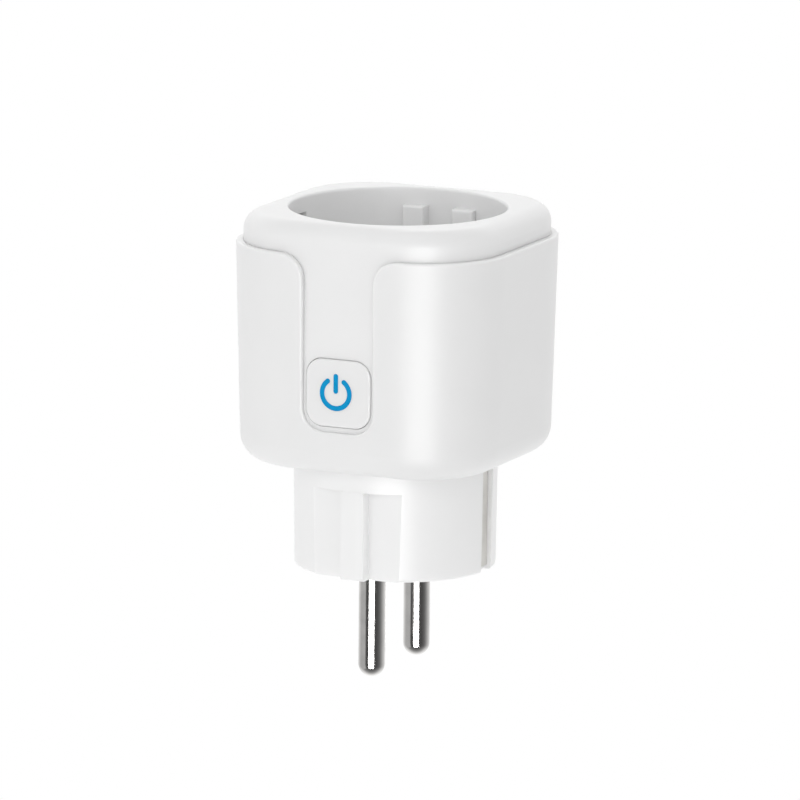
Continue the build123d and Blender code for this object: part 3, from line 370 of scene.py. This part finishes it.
def banded_resistor(name):
    """A cemented body with three plain colour rings."""
    f = Finish(name)
    low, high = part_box("fusible_resistor")
    coat = f.noise(0.4 * MM, 3.0, 0.6)
    shade = f.mix(f.spread(coat), (0.16, 0.33, 0.24, 1), (0.25, 0.45, 0.33, 1))
    place = f.span(f.along("X"), low.x, high.x)
    rings = ((0.3, (0.35, 0.04, 0.02, 1)), (0.5, (0.02, 0.02, 0.02, 1)), (0.7, (0.6, 0.35, 0.03, 1)))
    for middle, ring in rings:
        far = f.math("ABSOLUTE", f.math("SUBTRACT", place, middle))
        shade = f.mix(f.span(far, 0.055, 0.045), shade, ring)
    f.surface(shade, f.spread(coat, 0.4, 0.55), f.bump(coat, 0.02 * MM, 0.5))
    return f.material


def symbol_inlay(name):
    """The blue inlay: a nearly even colour with a smooth skin."""
    f = Finish(name)
    cloud = f.noise(0.9 * MM, 2.0)
    shade = f.mix(f.spread(cloud), (0.0, 0.260, 0.530, 1), (0.0, 0.282, 0.575, 1))
    f.surface(shade, f.spread(cloud, 0.26, 0.34), f.bump(f.noise(GRAIN_SIZE), GRAIN_DEPTH, 0.2))
    f.set(ior=1.22)
    return f.material


def clear_guide(name):
    """The clear plate behind the symbol, faintly frosted."""
    f = Finish(name)
    frost = f.noise(0.2 * MM, 2.0)
    f.surface(f.mix(f.spread(frost), (0.86, 0.92, 0.95, 1), (0.93, 0.97, 0.98, 1)),
              f.spread(frost, 0.08, 0.2), f.bump(frost, 0.003 * MM, 0.3))
    f.set(transmission_weight=0.9, ior=1.49)
    return f.material


def lamp_lens(name):
    """A small lamp: a pale package with a yellow phosphor window."""
    f = Finish(name)
    package, phosphor = (0.82, 0.82, 0.80, 1), (0.75, 0.60, 0.12, 1)
    window = f.span(f.cells(1.4 * MM), 0.45, 0.35)
    f.surface(f.mix(window, package, phosphor), f.spread(f.noise(0.2 * MM), 0.2, 0.35))
    f.set(coat_weight=0.5)
    return f.material


def spring_wire(name):
    """Drawn steel wire with fine lines and a thin film of oil."""
    f = Finish(name)
    lines = f.noise(0.03 * MM, 2.0, 0.6, (1, 6, 6))
    f.surface(f.mix(f.spread(lines), (0.42, 0.42, 0.43, 1), (0.60, 0.60, 0.61, 1)),
              f.spread(lines, 0.2, 0.34), f.bump(lines, 0.001 * MM, 0.5))
    f.set(metallic=1.0, coat_weight=0.2)
    return f.material


MATERIALS = {
    # The sleeve's strongly lightened edges are mostly a painted highlight on its rim.
    "sleeve_plastic": moulded_plastic("sleeve_plastic", wear_and_highlight=0.6),
    # The housing's and the base's copies of the white plastic are lighter than the sleeve's: painted light
    # for the brighter cap and neck.
    "housing_plastic": moulded_plastic("housing_plastic", tint(WHITE, 1.02), wear_and_highlight=0.3),
    "base_plastic": moulded_plastic("base_plastic", tint(WHITE, 1.075), 0.38),
    "button_plastic": moulded_plastic("button_plastic", tint(WHITE, 1.02), 0.34),
    "symbol_blue": symbol_inlay("symbol_blue"),
    "clear_plastic": clear_guide("clear_plastic"),
    "pin_metal": plated_metal("pin_metal", (0.64, 0.63, 0.62), 0.13, 0.10 * MM, (14, 14, 1)),
    "earth_metal": plated_metal("earth_metal", (0.72, 0.71, 0.68), 0.34, 0.1 * MM, (1, 1, 14)),
    "brass_strip": plated_metal("brass_strip", (0.80, 0.58, 0.26), 0.26, 0.12 * MM, (1, 1, 10), 0.8),
    "spring_steel": spring_wire("spring_steel"),
    "screw_steel": plated_metal("screw_steel", (0.55, 0.56, 0.58), 0.3, 0.14 * MM),
    "carrier_plastic": filled_plastic("carrier_plastic", (0.10, 0.045, 0.022), (0.22, 0.13, 0.08)),
    "holder_plastic": filled_plastic("holder_plastic", (0.62, 0.61, 0.57), (0.75, 0.74, 0.70), 0.45),
    "shutter_plastic": moulded_plastic("shutter_plastic"),
    "board_green": circuit_board("board_green"),
    "chip_black": chip_resin("chip_black"),
    "lamp_white": lamp_lens("lamp_white"),
    "switch_black": moulded_plastic("switch_black", (0.025, 0.025, 0.027), 0.45, wear_and_highlight=0.12),
    "shield_metal": plated_metal("shield_metal", (0.72, 0.72, 0.70), 0.24, 0.5 * MM, stain=0.82),
    "copper": wound_wire("copper", 0.24 * MM),
    "capacitor_sleeve": capacitor_can("capacitor_sleeve"),
    "ferrite": dipped_coat("ferrite", (0.035, 0.034, 0.036), 0.6),
    "varistor_blue": dipped_coat("varistor_blue", (0.03, 0.13, 0.38), 0.3),
    "resistor_green": banded_resistor("resistor_green"),
    "relay_blue": moulded_plastic("relay_blue", (0.02, 0.085, 0.36), 0.32, wear_and_highlight=0.12, tone=0.06),
    "relay_base": filled_plastic("relay_base", (0.03, 0.03, 0.035), (0.08, 0.08, 0.09)),
    "relay_iron": plated_metal("relay_iron", (0.50, 0.51, 0.52), 0.34, 0.15 * MM, (1, 8, 1), 0.85),
}
OWN_MATERIALS = {
    "wifi_antenna": plated_metal("antenna_copper", (0.80, 0.42, 0.26), 0.3, 0.1 * MM, (8, 1, 1), 0.85),
}


def dress_nodes():
    """Gives every carried CAD node its material, by the record's slot."""
    for part in frame["record"]["subparts"]:
        piece = nodes[part["node"]]
        piece.data.materials.clear()
        piece.data.materials.append(OWN_MATERIALS.get(part["node"], MATERIALS[part["material_slot"]]))


# --- the shutter's spring -----------------------------------------------------------------
def coil_line(low, high):
    """The middle of a box, and the centreline of the coil along X that fills it."""
    middle = Vector((0, (low.y + high.y) / 2, (low.z + high.z) / 2))
    radius = (high.z - low.z) / 2 - WIRE_RADIUS
    total = int(SPRING_TURNS * SPRING_STEPS)
    line = []
    for i in range(total + 1):
        share = i / total
        x = low.x + (WIRE_RADIUS + (high.x - low.x - 2 * WIRE_RADIUS) * share)
        angle = math.tau * (share * SPRING_TURNS)
        line.append(Vector((x, radius * math.cos(angle), radius * math.sin(angle))) + middle)
    return middle, line


def wire_rings(middle, line):
    """A ring of points round the wire at each point of its centreline."""
    rows = []
    last = len(line) - 1
    for i, point in enumerate(line):
        along = (line[min(i + 1, last)] - line[max(i - 1, 0)]).normalized()
        out = (point - Vector((point.x, middle.y, middle.z))).normalized()
        side = along.cross(out)
        for k in range(WIRE_SIDES):
            angle = math.tau * k / WIRE_SIDES
            rows.append(point + (out * math.cos(angle) + side * math.sin(angle)) * WIRE_RADIUS)
    return rows


def wire_faces(rings):
    """The faces that join each ring to the next, and a cap at each end."""
    faces = []
    for i in range(rings - 1):
        for k in range(WIRE_SIDES):
            a, b = i * WIRE_SIDES + k, i * WIRE_SIDES + (k + 1) % WIRE_SIDES
            faces.append((a, b, b + WIRE_SIDES, a + WIRE_SIDES))
    faces.append(tuple(reversed(range(WIRE_SIDES))))
    faces.append(tuple(range((rings - 1) * WIRE_SIDES, rings * WIRE_SIDES)))
    return faces


def make_spring():
    low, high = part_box("shutter_spring")
    middle, line = coil_line(low, high)
    mesh = bpy.data.meshes.new("guard_spring")
    mesh.from_pydata(wire_rings(middle, line), [], wire_faces(len(line)))
    mesh.shade_smooth()
    mesh.materials.append(MATERIALS["spring_steel"])
    spring = add_object("guard_spring", mesh)
    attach(spring, "housing")
    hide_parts("shutter_spring")
    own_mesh(spring)


# --- studio -------------------------------------------------------------------------------
def glow(name, strength):
    """A plain white light-giving surface, clear from behind."""
    material = bpy.data.materials.new(name)
    g = Graph(material)
    g.tree.nodes.clear()
    light = g.add("ShaderNodeEmission", {"Color": WHITE_LIGHT, "Strength": strength}).outputs[0]
    clear = g.add("ShaderNodeBsdfTransparent").outputs[0]
    behind = g.add("ShaderNodeNewGeometry").outputs["Backfacing"]
    light = g.add("ShaderNodeMixShader", {0: behind, 1: light, 2: clear}).outputs[0]
    g.add("ShaderNodeOutputMaterial", {"Surface": light})
    return material


def glowing_card(name, width, height, z, material):
    """A flat rectangle that faces up, at height z."""
    w, h = width / 2, height / 2
    mesh = bpy.data.meshes.new(name)
    mesh.from_pydata([(-w, -h, z), (w, -h, z), (w, h, z), (-w, h, z)], [], [(0, 1, 2, 3)])
    mesh.materials.append(material)
    return add_object(name, mesh)


def panel(name, azimuth, elevation, width, height, strength, diffuse=True, glossy=True):
    """A light panel that faces the object and isn't seen by the camera itself."""
    card = glowing_card(name, width, height, 0, glow(name, strength))
    out = heading(azimuth, elevation)
    card.location = AIM + out * SOFTBOX_DISTANCE
    card.rotation_euler = (-out).to_track_quat("Z", "Y").to_euler()
    card.visible_camera = False
    card.visible_diffuse = diffuse
    card.visible_glossy = glossy


def make_floor():
    floor = glowing_card("floor", FLOOR_SIZE, FLOOR_SIZE, cad_low.z, glow("pale_floor", FLOOR_GLOW))
    floor.visible_glossy = False


def mirrored_backdrop(g):
    """What reflections see: a studio that is darkest on the camera's side."""
    way = g.add("ShaderNodeTexCoord").outputs["Generated"]
    ahead = g.dot(way, heading(CAMERA_AZIMUTH, 0))
    ramp = g.add("ShaderNodeValToRGB", {0: g.span(ahead, -1, 1)})
    while len(ramp.color_ramp.elements) < len(BACKDROP_STOPS):
        ramp.color_ramp.elements.new(0.5)
    for element, (place, grey) in zip(ramp.color_ramp.elements, BACKDROP_STOPS):
        element.position = place
        element.color = (grey, grey, grey, 1)
    height = g.add("ShaderNodeSeparateXYZ", {0: way}).outputs["Z"]
    lift = g.span(height, *BACKDROP_BANDS[0])
    for band in BACKDROP_BANDS[1:]:
        lift = g.math("ADD", lift, g.span(height, *band))
    return g.add("ShaderNodeBackground", {"Color": ramp.outputs["Color"], "Strength": lift}).outputs[0]


def plain_sky(g, strength):
    return g.add("ShaderNodeBackground", {"Color": WHITE_LIGHT, "Strength": strength}).outputs[0]


def make_world():
    """White to the eye, soft grey as light, and the mirrored backdrop in reflections."""
    world = bpy.data.worlds.new("studio")
    g = Graph(world)
    g.tree.nodes.clear()
    path = g.add("ShaderNodeLightPath")
    light = g.add("ShaderNodeMixShader", {
        0: path.outputs["Is Glossy Ray"], 1: plain_sky(g, SKY_DIFFUSE), 2: mirrored_backdrop(g)}).outputs[0]
    light = g.add("ShaderNodeMixShader", {
        0: path.outputs["Is Camera Ray"], 1: light, 2: plain_sky(g, SKY_SEEN)}).outputs[0]
    g.add("ShaderNodeOutputWorld", {"Surface": light})
    bpy.context.scene.world = world


def make_camera():
    data = bpy.data.cameras.new("camera")
    data.lens = CAMERA_LENS
    data.clip_end = CAMERA_REACH
    camera = add_object("camera", data)
    back = heading(CAMERA_AZIMUTH, CAMERA_ELEVATION)
    right = Vector((0, 0, 1)).cross(back).normalized()
    target = AIM + right * AIM_RIGHT + back.cross(right) * AIM_UP
    camera.location = target + back * CAMERA_DISTANCE
    turn = back.to_track_quat("Z", "Y").to_matrix() @ Matrix.Rotation(CAMERA_ROLL, 3, "Z")
    camera.rotation_euler = turn.to_euler()
    bpy.context.scene.camera = camera


dress_nodes()
make_spring()
make_camera()
make_world()
make_floor()
panel("front_streak", azimuth=21, elevation=-12, width=0.70, height=1.0, strength=11.0, diffuse=False)
panel("front_fill", azimuth=2, elevation=3, width=1.2, height=1.1, strength=1.85, glossy=False)
panel("top_fill", azimuth=20, elevation=85, width=1.2, height=1.2, strength=1.02, glossy=False)
panel("left_mirror", azimuth=-55, elevation=-10, width=0.9, height=1.2, strength=0.6, diffuse=False)

bpy.context.scene.view_settings.view_transform = "Standard"
